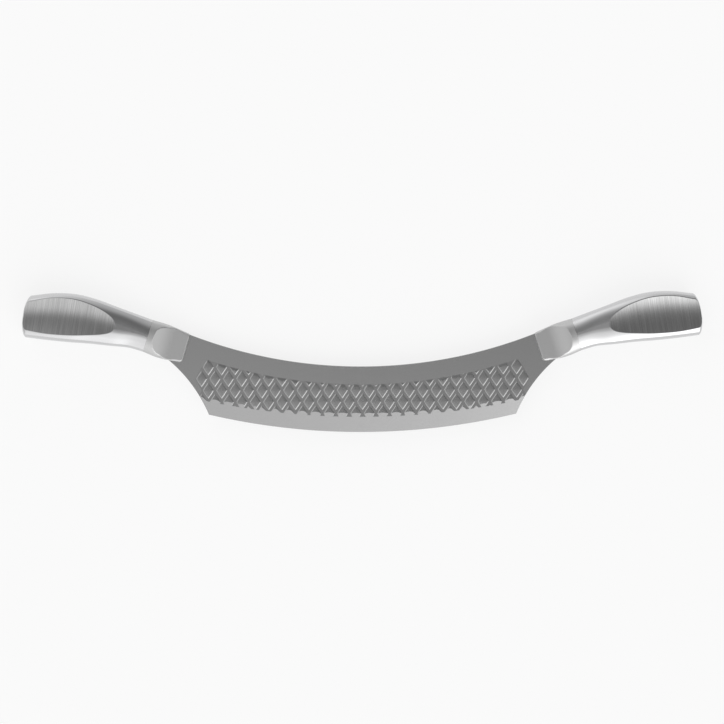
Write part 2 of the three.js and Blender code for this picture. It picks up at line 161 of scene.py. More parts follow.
def studio_world():
    world = bpy.data.worlds.new("studio")
    world.use_nodes = True
    tree = world.node_tree
    background = tree.nodes["Background"]
    direction = tree.nodes.new("ShaderNodeSeparateXYZ")
    link(tree, tree.nodes.new("ShaderNodeTexCoord").outputs["Generated"], direction.inputs[0])
    x, y, z = direction.outputs
    skewed = math_node(tree, "MULTIPLY_ADD", x, SOFTBOX_SKEW, y)
    turn = math_node(tree, "ARCTAN2", skewed, z)
    fraction = math_node(tree, "MULTIPLY_ADD", turn, 0.5 / math.pi, 0.5)
    stops = [((angle + 180) / 360, share) for angle, share in STUDIO_STOPS]
    around = ramp_node(tree, fraction, stops)
    towards_end = math_node(tree, "MULTIPLY", x, x)
    away = math_node(tree, "MULTIPLY", around, math_node(tree, "SUBTRACT", 1.0, towards_end))
    share = math_node(tree, "MULTIPLY_ADD", towards_end, SIDE_SHARE, away)
    right = limited(tree, math_node(tree, "DIVIDE", x, RIGHT_START), -1.0)
    before_turn = math_node(tree, "SUBTRACT", SIDE_TURN, y)
    edge_side = limited(tree, math_node(tree, "DIVIDE", before_turn, SIDE_FADE), 0.0)
    spine_side = math_node(tree, "SUBTRACT", 1.0, edge_side)
    brighter = math_node(tree, "MULTIPLY", math_node(tree, "MULTIPLY", right, edge_side), RIGHT_SHARE)
    dimmer = math_node(tree, "MULTIPLY", math_node(tree, "MULTIPLY", x, spine_side), RIGHT_DIM)
    lean = math_node(tree, "ADD", 1.0, math_node(tree, "SUBTRACT", brighter, dimmer))
    level = math_node(tree, "MULTIPLY", math_node(tree, "MULTIPLY", share, lean), LIGHT_LEVEL)
    opposite = math_node(tree, "MULTIPLY", math_node(tree, "MULTIPLY", x, y), -1.0)
    corner = math_node(tree, "MAXIMUM", opposite, 0.0)
    high = math_node(tree, "POWER", math_node(tree, "MAXIMUM", z, 0.0), 2.0)
    softboxes = math_node(tree, "MULTIPLY", math_node(tree, "MULTIPLY", corner, high), CORNER_LIGHT)
    link(tree, math_node(tree, "ADD", level, softboxes), background.inputs["Color"])
    return world


scene.world = studio_world()
print("studio light level", LIGHT_LEVEL)

# %% Floor
FLOOR_SIZE = 200.0  # so wide that a low view doesn't reach its end
FLOOR_COLOUR = 0.93
FLOOR_WHITE = 0.8  # share of plain white that the camera and mirrors see in the floor


def studio_floor():
    mesh = bpy.data.meshes.new("floor")
    half = FLOOR_SIZE / 2
    corners = [(-half, -half, 0), (half, -half, 0), (half, half, 0), (-half, half, 0)]
    mesh.from_pydata(corners, [], [(0, 1, 2, 3)])
    floor = bpy.data.objects.new("floor", mesh)
    scene.collection.objects.link(floor)
    paper = bpy.data.materials.new("floor_paper")
    paper.use_nodes = True
    shader = paper.node_tree.nodes["Principled BSDF"]
    shader.inputs["Base Color"].default_value = (FLOOR_COLOUR, FLOOR_COLOUR, FLOOR_COLOUR, 1)
    shader.inputs["Roughness"].default_value = 1
    shader.inputs["Specular IOR Level"].default_value = 0
    tree = paper.node_tree
    white = tree.nodes.new("ShaderNodeEmission")
    rays = tree.nodes.new("ShaderNodeLightPath").outputs
    seen = math_node(tree, "MAXIMUM", rays["Is Camera Ray"], rays["Is Glossy Ray"])
    seen = math_node(tree, "MAXIMUM", seen, rays["Is Transmission Ray"])
    blend = tree.nodes.new("ShaderNodeMixShader")
    link(tree, math_node(tree, "MULTIPLY", seen, FLOOR_WHITE), blend.inputs["Fac"])
    link(tree, shader.outputs[0], blend.inputs[1])
    link(tree, white.outputs[0], blend.inputs[2])
    link(tree, blend.outputs[0], tree.nodes["Material Output"].inputs["Surface"])
    mesh.materials.append(paper)


studio_floor()
print("floor", FLOOR_SIZE, "m wide")

# %% [markdown]
# The knife is all stainless steel, and its finishes tell the pieces apart: a fine satin blade, painted a
# little darker in the pressed field as painted shade for the recesses between its scales, with a brighter
# ground bevel, bead-blasted cheeks on satin bolsters, polished handles, and grips brushed across. Each
# finish is one metal with its own roughness, grain and small bumps. The grain is noise on Object
# coordinates, stretched along the direction of the brush. The sideways coordinate is made positive first,
# so that one finish serves both handles.

# %% Brushed and polished steel
HANDLE_TILT = 9.0
COOL = 1.01  # steel is a touch bluer than grey
FINE_SHARE = 0.7  # share of the fine grain where a broad one is mixed in
BRUSH_FINE = (2300, 45, 45)  # grains per metre across and along the brush
BRUSH_BROAD = (900, 30, 30)
BRUSH_GREYS = (0.29, 0.82)
BRUSH_ROUGHNESS = (0.17, 0.11)
BRUSH_DEPTH = 0.000012
POLISH_HAZE = (260, 260, 260)
POLISH_ROUGHNESS = (0.10, 0.16)


def steel(name, grey, roughness):
    """A metal of one grey with a roughness, with its node tree and its shader."""
    material = bpy.data.materials.new(name)
    material.use_nodes = True
    tree = material.node_tree
    shader = tree.nodes["Principled BSDF"]
    shader.inputs["Metallic"].default_value = 1
    shader.inputs["Base Color"].default_value = (grey, grey, grey * COOL, 1)
    shader.inputs["Roughness"].default_value = roughness
    return material, tree, shader


def folded_coordinates(tree, turn, scale):
    """Object coordinates with both ends of the knife folded together, turned and scaled."""
    split = tree.nodes.new("ShaderNodeSeparateXYZ")
    link(tree, tree.nodes.new("ShaderNodeTexCoord").outputs["Object"], split.inputs[0])
    fold = tree.nodes.new("ShaderNodeCombineXYZ")
    link(tree, math_node(tree, "ABSOLUTE", split.outputs["X"]), fold.inputs["X"])
    link(tree, split.outputs["Y"], fold.inputs["Y"])
    link(tree, split.outputs["Z"], fold.inputs["Z"])
    turned = tree.nodes.new("ShaderNodeVectorRotate")
    turned.rotation_type = "Z_AXIS"
    turned.inputs["Angle"].default_value = math.radians(turn)
    link(tree, fold.outputs[0], turned.inputs["Vector"])
    scaled = tree.nodes.new("ShaderNodeVectorMath")
    scaled.operation = "MULTIPLY"
    scaled.inputs[1].default_value = scale
    link(tree, turned.outputs[0], scaled.inputs[0])
    return scaled.outputs[0]


def grain(tree, coordinates, detail=3.0):
    """Noise over coordinates, from 0 to 1."""
    noise = tree.nodes.new("ShaderNodeTexNoise")
    noise.inputs["Scale"].default_value = 1
    noise.inputs["Detail"].default_value = detail
    link(tree, coordinates, noise.inputs["Vector"])
    return noise.outputs["Fac"]


def spread(tree, fraction, low, high):
    """A fraction mapped onto a range."""
    return math_node(tree, "MULTIPLY_ADD", fraction, high - low, low)


def grey_of(tree, value):
    colour = tree.nodes.new("ShaderNodeCombineColor")
    for channel in colour.inputs:
        link(tree, value, channel)
    return colour.outputs[0]


def bump_from(tree, shader, height, depth):
    """Small relief of a given depth in metres."""
    bump = tree.nodes.new("ShaderNodeBump")
    bump.inputs["Distance"].default_value = depth
    link(tree, height, bump.inputs["Height"])
    link(tree, bump.outputs[0], shader.inputs["Normal"])


def mixed_grain(tree, fine, broad):
    """A fine grain with a broad one under it."""
    upper = math_node(tree, "MULTIPLY", fine, FINE_SHARE)
    return math_node(tree, "MULTIPLY_ADD", broad, 1 - FINE_SHARE, upper)


def brushed_steel():
    material, tree, shader = steel("brushed_grip_steel", grey=0.55, roughness=0.14)
    fine = grain(tree, folded_coordinates(tree, -HANDLE_TILT, BRUSH_FINE))
    broad = grain(tree, folded_coordinates(tree, -HANDLE_TILT, BRUSH_BROAD))
    mixed = mixed_grain(tree, fine, broad)
    link(tree, grey_of(tree, spread(tree, mixed, *BRUSH_GREYS)), shader.inputs["Base Color"])
    link(tree, spread(tree, mixed, *BRUSH_ROUGHNESS), shader.inputs["Roughness"])
    bump_from(tree, shader, fine, BRUSH_DEPTH)
    return material


def polished_steel():
    material, tree, shader = steel("polished_steel", grey=0.62, roughness=0.13)
    haze = grain(tree, folded_coordinates(tree, -HANDLE_TILT, POLISH_HAZE))
    link(tree, spread(tree, haze, *POLISH_ROUGHNESS), shader.inputs["Roughness"])
    return material


brushed = brushed_steel()
polished = polished_steel()
print("finishes:", brushed.name, polished.name)

# %% Satin steel
CLOUDS = (70, 70, 70)
SATIN_SPREAD = 0.04  # how far a satin roughness goes up and down
BLAST_CELLS = (3000, 3000, 3000)
BLADE_CELLS = (2600, 2600, 2600)
BEVEL_CELLS = (2600, 700, 700)


def satin_steel(name, greys, roughness, cells, depth):
    """Steel with a fine even grain, as blasting or fine grinding leaves it."""
    material, tree, shader = steel(name, sum(greys) / 2, roughness)
    speckle = grain(tree, folded_coordinates(tree, 0, cells))
    cloud = grain(tree, folded_coordinates(tree, 0, CLOUDS))
    mixed = mixed_grain(tree, speckle, cloud)
    link(tree, grey_of(tree, spread(tree, mixed, *greys)), shader.inputs["Base Color"])
    dull, bright = roughness + SATIN_SPREAD, roughness - SATIN_SPREAD
    link(tree, spread(tree, mixed, dull, bright), shader.inputs["Roughness"])
    bump_from(tree, shader, speckle, depth)
    return material


blasted = satin_steel(
    "blasted_cheek_steel", greys=(0.50, 0.60), roughness=0.36, cells=BLAST_CELLS, depth=0.000006
)
neck = satin_steel(
    "satin_neck_steel", greys=(0.54, 0.62), roughness=0.36, cells=BLAST_CELLS, depth=0.000004
)
satin = satin_steel(
    "satin_blade_steel", greys=(0.44, 0.52), roughness=0.25, cells=BLADE_CELLS, depth=0.000006
)
# The pressed field's colour is painted darker than the plain blade's: painted shade for the recesses between
# the scales.
pressed = satin_steel(
    "pressed_field_painted_shade_steel", greys=(0.383, 0.452), roughness=0.25, cells=BLADE_CELLS, depth=0.000006
)
ground = satin_steel(
    "ground_bevel_steel", greys=(0.405, 0.455), roughness=0.26, cells=BEVEL_CELLS, depth=0.000004
)
print("satin finishes:", [finish.name for finish in (blasted, neck, satin, pressed, ground)])

# %% Filler
FILLER_LUMPS = (400, 400, 400)
FILLER_GREYS = (0.03, 0.08)


def filler():
    material, tree, shader = steel("cast_filler", grey=0.05, roughness=0.85)
    shader.inputs["Metallic"].default_value = 0
    lumps = grain(tree, folded_coordinates(tree, 0, FILLER_LUMPS))
    link(tree, grey_of(tree, spread(tree, lumps, *FILLER_GREYS)), shader.inputs["Base Color"])
    return material


cast_filler = filler()
print("filler:", cast_filler.name)

# %% [markdown]
# A handle and its bolster are lofts: sections along an axis, joined by a smooth curve. A section's top
# and bottom are superellipse arcs, and a ground face cuts across where the body is thick enough: flat on
# the bolster's cheeks, gently hollow on the grip. Subdivision of a few rings would blur the crisp line
# where face and rim meet, so the sections are worked out by formula, with points that follow that line
# and round it off by a fraction of a millimetre.

# %% Section formulas
BEND_RUN = 20.0
BOLSTER_TILT = 17.5
BEND = math.radians(BOLSTER_TILT - HANDLE_TILT)
BUTT_DEPTH = 3.6
BUTT_POWER = 4.0
HOLLOW_THICKNESS = 15.4
HOLLOW_RADIUS = 80.0
NECK_POWER = 2.6
TOP_POWER = 3.8
BOTTOM_POWER = 3.2
WALL = 1.2
EDGE_ROUND = 0.4  # how far the line between rim and ground face is rounded off, each way
ROUND_LIMIT = 0.9  # most of the way to a neighbouring point that the rounding may take
RIM_STEPS = 16
ROUND_STEPS = 6
FACE_STEPS = 20
FACE_FIRST = RIM_STEPS + ROUND_STEPS  # columns of a section between which the ground face lies
FACE_LAST = FACE_FIRST + FACE_STEPS
RIM_LIMIT = math.radians(88)  # a rim with no ground face to meet ends here
RIM_SLACK = 1e-6  # a rim that comes this close to its limit meets no face
HALVINGS = 40  # steps of the search for the point where rim and face meet
# Place along the axis, reach above and below it, and thickness before the grip is hollowed, in millimetres
HANDLE_SECTIONS = [
    (0, 9.8, 9.9, 12.5),
    (10, 11.9, 8.7, 13.8),
    (22, 14.5, 9.3, 15.75),
    (34, 16.9, 9.9, 17.7),
    (46, 17.9, 10.9, 19.3),
    (59, 16.45, 11.6, 19.6),
    (71, 13.25, 11.9, 18),
]


def smooth_sections(sections):
    """A function of the place along the axis: centre, half height and thickness on a smooth curve."""
    table = np.array(sections, float)
    places, sizes = table[:, 0], table[:, 1:]
    slopes = np.diff(sizes, axis=0) / np.diff(places)[:, None]
    tangents = np.vstack([slopes[:1], (slopes[:-1] + slopes[1:]) / 2, slopes[-1:]])

    def at(along):
        i = int(np.clip(np.searchsorted(places, along) - 1, 0, len(places) - 2))
        run = places[i + 1] - places[i]
        t = np.clip((along - places[i]) / run, 0, 1)
        above, below, thick = (
            (2 * t**3 - 3 * t**2 + 1) * sizes[i]
            + (t**3 - 2 * t**2 + t) * run * tangents[i]
            + (3 * t**2 - 2 * t**3) * sizes[i + 1]
            + (t**3 - t**2) * run * tangents[i + 1]
        )
        return (above - below) / 2, (above + below) / 2, thick

    return at


def smoothstep(value, low, high):
    t = np.clip((value - low) / (high - low), 0, 1)
    return t * t * (3 - 2 * t)


def rounded_corner(before, corner, after):
    """Points of a small curve in place of a corner between two neighbours."""
    def towards(other):
        share = min(EDGE_ROUND / math.dist(corner, other), ROUND_LIMIT)
        return [c + (o - c) * share for c, o in zip(corner, other)]

    start, end = towards(before), towards(after)
    points = []
    for k in range(ROUND_STEPS + 1):
        t = k / ROUND_STEPS
        weights = ((1 - t) ** 2, 2 * t * (1 - t), t**2)
        points.append(tuple(np.dot(weights, values) for values in zip(start, corner, end)))
    return points


def half_section(centre, reach, thick, low_power, high_power, face):
    """Half a section from the bottom of the mid-plane to its top, and whether a ground face cuts it."""
    def rim_point(side, power, angle):
        up = centre + side * reach * math.cos(angle) ** (2 / power)
        return up, thick / 2 * math.sin(angle) ** (2 / power)

    def rim(side, power):
        low, high = 0.0, RIM_LIMIT
        for _ in range(HALVINGS):
            middle = (low + high) / 2
            up, out = rim_point(side, power, middle)
            low, high = (middle, high) if out < face(up) else (low, middle)
        points = [rim_point(side, power, low * k / RIM_STEPS) for k in range(RIM_STEPS + 1)]
        return points, low < RIM_LIMIT - RIM_SLACK

    def body(up):
        power = low_power if up < centre else high_power
        return thick / 2 * (1 - abs((up - centre) / reach) ** power) ** (1 / power)

    low, cut = rim(-1, low_power)
    high, _ = rim(1, high_power)
    between = np.linspace(low[-1][0], high[-1][0], FACE_STEPS + 1)[1:-1]
    across = [(up, min(face(up), body(up))) for up in between]
    low = low[:-1] + rounded_corner(low[-2], low[-1], across[0])
    high = high[:-1] + rounded_corner(high[-2], high[-1], across[-1])
    return low + across + high[::-1], cut


handle_sizes = smooth_sections(HANDLE_SECTIONS)
deepest = max(handle_sizes(section[0])[1] for section in HANDLE_SECTIONS)
print("grip at its deepest:", round(2 * deepest, 1), "mm")

# %% [markdown]
# Each handle is two pressed half shells. A shell is a grid of section points and a second grid inside it,
# one wall thickness in, closed along the border, so it is a real thin shell and not a skin. The crease
# round the hollow is marked sharp, and the faces inside it get the brushed finish. All the rest is
# polished.

# %% Where bolsters and handles start
SEAM_GAP = 0.05  # a closed joint: the bolster is drawn this close to the shells
BOLSTER_LENGTH = 23.45
SPINE_RADIUS = 280.0
BLADE_DEPTH = 38.7
CHEEK_SPACING = 202.4
AXIS_BELOW_SPINE = 8.0


def spine_height(x):
    return BLADE_DEPTH + SPINE_RADIUS - math.sqrt(SPINE_RADIUS**2 - x**2)


# The edge's lowest point is the lowest of the knife's box, and the blade's middle plane is the knife's.
blade_frame = Matrix.Translation((0, cad_box[0][1], mid_plane)) @ Matrix.Scale(MM, 4)
bolster_frame = (
    Matrix.Translation((CHEEK_SPACING / 2, spine_height(CHEEK_SPACING / 2), 0))
    @ Matrix.Rotation(math.radians(BOLSTER_TILT), 4, "Z")
    @ Matrix.Translation((0, -AXIS_BELOW_SPINE, 0))
)
handle_frame = (
    bolster_frame
    @ Matrix.Translation((BOLSTER_LENGTH + SEAM_GAP, 0, 0))
    @ Matrix.Rotation(-BEND, 4, "Z")
)
print("handle starts at", [round(place, 1) for place in handle_frame.translation], "mm")

# %% Handle sections
GRIP_ROWS = 138
BUTT_ROWS = 20
BUTT_LIMIT = math.radians(88.5)  # how far the butt's rows climb its dome before it is closed
GRIP_END = HANDLE_SECTIONS[-1][0]


def handle_half(along, inset, butt_angle=0.0):
    """Half a section of the handle, drawn in by an inset. The butt angle climbs the dome at its end."""
    centre, reach, thick = handle_sizes(along)
    shrink = math.cos(butt_angle)
    thinning = (1 - math.sin(butt_angle) ** BUTT_POWER) ** (1 / BUTT_POWER)
    place = along + (BUTT_DEPTH - inset) * math.sin(butt_angle)
    grip = smoothstep(along, 0, BEND_RUN)
    tilt = BEND * (1 - grip)
    low_power = NECK_POWER + (BOTTOM_POWER - NECK_POWER) * grip
    high_power = NECK_POWER + (TOP_POWER - NECK_POWER) * grip
    points, cut = half_section(
        centre, (reach - inset) * shrink, (thick - 2 * inset) * thinning, low_power, high_power,
        lambda up: HOLLOW_THICKNESS / 2 + (up - centre) ** 2 / (2 * HOLLOW_RADIUS) - inset,
    )
    return [(place - up * math.sin(tilt), up * math.cos(tilt), out) for up, out in points], cut


def shell_grid(inset):
    """Rows of section points from the seam to the closed butt, and whether the hollow cuts each row."""
    rows = [handle_half(GRIP_END * i / GRIP_ROWS, inset) for i in range(GRIP_ROWS + 1)]
    angles = [BUTT_LIMIT * math.sin(math.pi / 2 * i / BUTT_ROWS) for i in range(1, BUTT_ROWS + 1)]
    rows += [handle_half(GRIP_END, inset, angle) for angle in angles]
    centre = handle_sizes(GRIP_END)[0]
    closing = [(GRIP_END + BUTT_DEPTH - inset, (y + centre) / 2, 0.0) for x, y, z in rows[-1][0]]
    return [row for row, _ in rows] + [closing], [cut for _, cut in rows] + [False]


print("handle sections:", len(shell_grid(0)[0]), "rows")


# %% Handle shells
def mesh_object(name, points, faces, materials, face_finish=None):
    """An object at the origin from points in metres. Finish gives each face the number of its material."""
    mesh = bpy.data.meshes.new(name)
    mesh.from_pydata(points, [], faces)
    for material in materials:
        mesh.materials.append(material)
    if face_finish is not None:
        mesh.polygons.foreach_set("material_index", face_finish)
    mesh.update()
    made = bpy.data.objects.new(name, mesh)
    scene.collection.objects.link(made)
    return made


def placed(points, matrix, mirror_x, mirror_z):
    """Points taken to the knife's frame, on the right or the left end, in front or behind."""
    flip = Matrix.Diagonal((mirror_x, 1, 1, 1))
    whole = blade_frame @ flip @ matrix @ Matrix.Diagonal((1, 1, mirror_z, 1))
    return [whole @ Vector(p) for p in points]


def handle_shell(name, mirror_x, mirror_z):
    outer, cuts = shell_grid(0)
    inner, _ = shell_grid(WALL)
    rows, columns = len(outer), len(outer[0])
    inside = rows * columns
    faces, finish, creases = [], [], []
    for i in range(rows - 1):
        for j in range(columns - 1):
            a, b = i * columns + j, (i + 1) * columns + j
            faces.append((a, b, b + 1, a + 1))
            finish.append(int(cuts[i] and cuts[i + 1] and FACE_FIRST <= j < FACE_LAST))
        if cuts[i] and cuts[i + 1]:
            creases += [(i * columns + j, (i + 1) * columns + j) for j in (FACE_FIRST, FACE_LAST)]
    for i in range(rows - 1):
        for j in range(columns - 1):
            a, b = inside + i * columns + j, inside + (i + 1) * columns + j
            faces.append((a, a + 1, b + 1, b))
            finish.append(0)
    border = [i * columns for i in range(rows - 1)]
    border += [(rows - 1) * columns + j for j in range(columns - 1)]
    border += [i * columns + columns - 1 for i in range(rows - 1, 0, -1)]
    border += list(range(columns - 1, 0, -1))
    for p, q in zip(border, border[1:] + border[:1]):
        faces.append((p, inside + p, inside + q, q))
        finish.append(0)
        creases += [(p, q), (inside + p, inside + q)]
    points = [p for row in outer for p in row] + [p for row in inner for p in row]
    if mirror_x * mirror_z < 0:
        faces = [face[::-1] for face in faces]
    points = placed(points, handle_frame, mirror_x, mirror_z)
    shell = mesh_object(name, points, faces, [polished, brushed], finish)
    mark_sharp(shell, creases)
    return shell


def mark_sharp(piece, creases):
    """Smooth shading with sharp edges along the creases, given as pairs of points."""
    shape = bmesh.new()
    shape.from_mesh(piece.data)
    shape.verts.ensure_lookup_table()
    for face in shape.faces:
        face.smooth = True
    for a, b in creases:
        edge = shape.edges.get((shape.verts[a], shape.verts[b]))
        if edge:
            edge.smooth = False
    shape.to_mesh(piece.data)
    shape.free()


for end, mirror_x in (("left", -1), ("right", 1)):
    for side, mirror_z in (("front", 1), ("rear", -1)):
        node = f"{end}_handle_{side}_shell"
        shell = handle_shell(node + "_steel", mirror_x, mirror_z)
        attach(shell, "root")
        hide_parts(node)
        print(shell.name, len(shell.data.polygons), "faces")

# %% [markdown]
# A bolster is a block of steel that clasps the blade: two flat blasted cheeks that sweep up into a satin
# neck. It is the same kind of loft as the handle, squarer at the cheeks. A rounded cheek end needs a few
# close rings, drawn in along a quarter circle. The blade's slot and the tang's mortise are cut with
# booleans, as they would be milled, because rings can't turn in on themselves.

# %% Bolster sections
CHEEK_THICKNESS = 7.2
CHEEK_FLAT = 8.0
CHEEK_RUN_OUT = 29.0
CHEEK_CORNER = 2.0  # radius of the cheek's lower corner
CHEEK_TOP_CORNER = 1.8
CHEEK_ROUND = 0.7
CHEEK_POWER = 8.0
SPIGOT_LENGTH = 7.0
SLOT_DEPTH = 16.3
SLOT_GAP = 0.1
FIT = 0.3
BLADE_THICKNESS = 2.2
TANG_HEIGHT = 10.0
BOLSTER_SECTIONS = [
    (0, 8.3, 9, 7.8),
    (5, 8.85, 9.7, 7.8),
    (14, 9.85, 10.65, 12),
    (BOLSTER_LENGTH, *HANDLE_SECTIONS[0][1:]),
]
bolster_sizes = smooth_sections(BOLSTER_SECTIONS)


def quarter_round(along, radius):
    """How far a rounded end of this radius is drawn in at a place along the axis."""
    left = max(0.0, radius - along)
    return radius - math.sqrt(radius**2 - left**2)


def bolster_half(along):
    """Half a section of the bolster: square at the cheeks, round at the seam, with the flat's run-out."""
    centre, reach, thick = bolster_sizes(along)
    cheek = 1 - smoothstep(along, BOLSTER_SECTIONS[1][0], BOLSTER_SECTIONS[2][0])
    inset = quarter_round(along, CHEEK_ROUND)
    low_cut = quarter_round(along, CHEEK_CORNER)
    top_cut = quarter_round(along, CHEEK_TOP_CORNER)
    centre += (low_cut - top_cut) / 2
    reach -= (low_cut + top_cut) / 2
    past = min(max(along - CHEEK_FLAT, 0), CHEEK_RUN_OUT)
    run_out = CHEEK_RUN_OUT - math.sqrt(CHEEK_RUN_OUT**2 - past**2)
    power = NECK_POWER + (CHEEK_POWER - NECK_POWER) * cheek
    points, cut = half_section(
        centre, reach - inset, thick - 2 * inset, power, power,
        lambda up: CHEEK_THICKNESS / 2 + run_out - inset,
    )
    return [(along, up, out) for up, out in points], cut


print("cheek:", round(2 * bolster_sizes(0)[1], 1), "mm deep")

# %% Bolsters
ROUND_RINGS = 8  # rings on the cheek's rounded end
CORNER_RINGS = 6  # from there to the end of its corners
FLAT_RINGS = 14  # on the cheek's flat
RISE_RINGS = 42  # up the neck
SPIGOT_RINGS = 8
TOOL_MARGIN = 1.0  # how far a cutting tool starts before or inside the cheek's end
TOOL_REACH = 40.0  # and how far it goes up and down, well past the bolster's rims
SHARP_ANGLE = math.radians(14)
FLAT_COSINE = 0.999995  # a face this square to the view lies in a plain flat


def ring_of(half):
    """The whole ring of a half section and its mirror image behind the mid-plane."""
    return half + [(x, y, -z) for x, y, z in half[-2:0:-1]]


def ring_loft(name, rings, materials, finish):
    """A closed loft through rings of points, with a flat end on each side."""
    count = len(rings[0])
    faces, numbers = [tuple(range(count))], [0]
    for i in range(len(rings) - 1):
        for j in range(count):
            k = (j + 1) % count
            faces.append((i * count + j, (i + 1) * count + j, (i + 1) * count + k, i * count + k))
            numbers.append(finish(i, j))
    faces.append(tuple(range(len(rings) * count - 1, (len(rings) - 1) * count - 1, -1)))
    numbers.append(0)
    return mesh_object(name, [p for ring in rings for p in ring], faces, materials, numbers)


def box_object(name, low, high, material):
    corners = [(x, y, z) for x in (low[0], high[0]) for y in (low[1], high[1]) for z in (low[2], high[2])]
    faces = [(0, 1, 3, 2), (4, 6, 7, 5), (0, 4, 5, 1), (2, 3, 7, 6), (0, 2, 6, 4), (1, 5, 7, 3)]
    return mesh_object(name, corners, faces, [material])


def combine(base, tool, operation):
    """Cut or join with a closed tool. The faces that the tool makes keep the tool's finish."""
    modifier = base.modifiers.new("combine", "BOOLEAN")
    modifier.operation = operation
    modifier.solver = "MANIFOLD"
    modifier.material_mode = "TRANSFER"
    modifier.object = tool
    made = bpy.data.meshes.new_from_object(base.evaluated_get(bpy.context.evaluated_depsgraph_get()))
    base.modifiers.remove(modifier)
    old = base.data
    base.data = made
    bpy.data.meshes.remove(old)
    bpy.data.objects.remove(tool)


def seat(piece, matrix, mirrored=False):
    """Take a piece from its own frame in millimetres to the knife's, and shade it, smooth or sharp."""
    piece.data.transform(blade_frame @ matrix)
    if mirrored:
        piece.data.flip_normals()
    shape = bmesh.new()
    shape.from_mesh(piece.data)
    for face in shape.faces:
        face.smooth = True
    for edge in shape.edges:
        same_finish = len({face.material_index for face in edge.link_faces}) == 1
        same_kind = len({abs(face.normal.z) > FLAT_COSINE for face in edge.link_faces}) == 1
        edge.smooth = same_finish and same_kind and edge.calc_face_angle(math.pi) < SHARP_ANGLE
    shape.to_mesh(piece.data)
    shape.free()


def bolster(name):
    """One bolster in its own frame."""
    close = [CHEEK_ROUND * (1 - math.cos(math.pi / 2 * k / ROUND_RINGS)) for k in range(ROUND_RINGS + 1)]
    corner = list(np.linspace(CHEEK_ROUND, CHEEK_CORNER, CORNER_RINGS + 1)[1:])
    flat = list(np.linspace(CHEEK_CORNER, CHEEK_FLAT, FLAT_RINGS + 1)[1:])
    rise = list(np.linspace(CHEEK_FLAT, BOLSTER_LENGTH, RISE_RINGS + 1)[1:])
    halves = [bolster_half(along) for along in close + corner + flat + rise]
    to_bolster = bolster_frame.inverted() @ handle_frame
    spigot = []
    for k in range(SPIGOT_RINGS + 1):
        half, _ = handle_half(SPIGOT_LENGTH * k / SPIGOT_RINGS, WALL + FIT)
        spigot.append([tuple(to_bolster @ Vector(p)) for p in half])
    step = [(BOLSTER_LENGTH, y, z) for x, y, z in spigot[0]]
    rings = [ring_of(half) for half in [half for half, _ in halves] + [step] + spigot]
    cuts = [cut for _, cut in halves] + [False] * (1 + len(spigot))
    columns = len(rings[0])

    def finish(i, j):
        on_flat = FACE_FIRST <= j < FACE_LAST or FACE_FIRST <= columns - 1 - j < FACE_LAST
        return int(on_flat and cuts[i] and cuts[i + 1])

    made = ring_loft(name, rings, [neck, blasted], finish)
    room = BLADE_THICKNESS / 2 + SLOT_GAP
    slot = box_object("slot", (-TOOL_MARGIN, -TOOL_REACH, -room), (SLOT_DEPTH, TOOL_REACH, room), blasted)
    combine(made, slot, "DIFFERENCE")
    up = TANG_HEIGHT / 2 + FIT
    mortise = box_object("mortise", (TOOL_MARGIN, -up, -room), (BOLSTER_LENGTH * 2, up, room), blasted)
    combine(made, mortise, "DIFFERENCE")
    return made


for end, mirror_x in (("left", -1), ("right", 1)):
    node = end + "_bolster"
    made = bolster(node + "_steel")
    seat(made, Matrix.Diagonal((mirror_x, 1, 1, 1)) @ bolster_frame, mirror_x < 0)
    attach(made, "root")
    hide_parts(node)
    print(made.name, len(made.data.polygons), "faces")

# %% [markdown]
# The blade is one stamped plate. Its outline is made of arcs: edge, spine and two concave heels. A prism
# over that outline, with its rims broken by a small chamfer, is cut with a wedge that stands for the two
# grinding passes of the bevel. A wedge with its own finish leaves that finish on the faces it cuts, so
# the bevel needs no mask.

# %% Blade outline
EDGE_LENGTH = 181.2
EDGE_RADIUS = 395.0
HEEL_RADIUS = 84.0
HEEL_SEAT = 8.2
TANG_REACH = 34.0
SPINE_CHAMFER = 0.2
SCALE_ROOM = 1.0  # the outline prism stands this far proud of the plate
ROOT_INSET = 0.15  # the blade's root stays this far inside the bolster's rims
HEEL_STEPS = 36
ROOT_STEPS = 8
ARC_STEPS = 140


def arc_points(start, end, radius, count):
    """Points on an arc. A positive radius bulges to the right of the way along it."""
    start, end = Vector(start), Vector(end)
    chord = end - start
    half = chord.length / 2
    left = Vector((-chord.y, chord.x)).normalized()
    centre = (start + end) / 2 + left * math.copysign(math.sqrt(radius**2 - half**2), radius)
    turn = 2 * math.asin(half / radius)
    arm = start - centre
    return [centre + Matrix.Rotation(turn * k / count, 2) @ arm for k in range(count + 1)]


def edge_height(x):
    return EDGE_RADIUS - math.sqrt(EDGE_RADIUS**2 - x**2)


def bolster_point(along, up):
    return (bolster_frame @ Vector((along, up, 0))).to_2d()


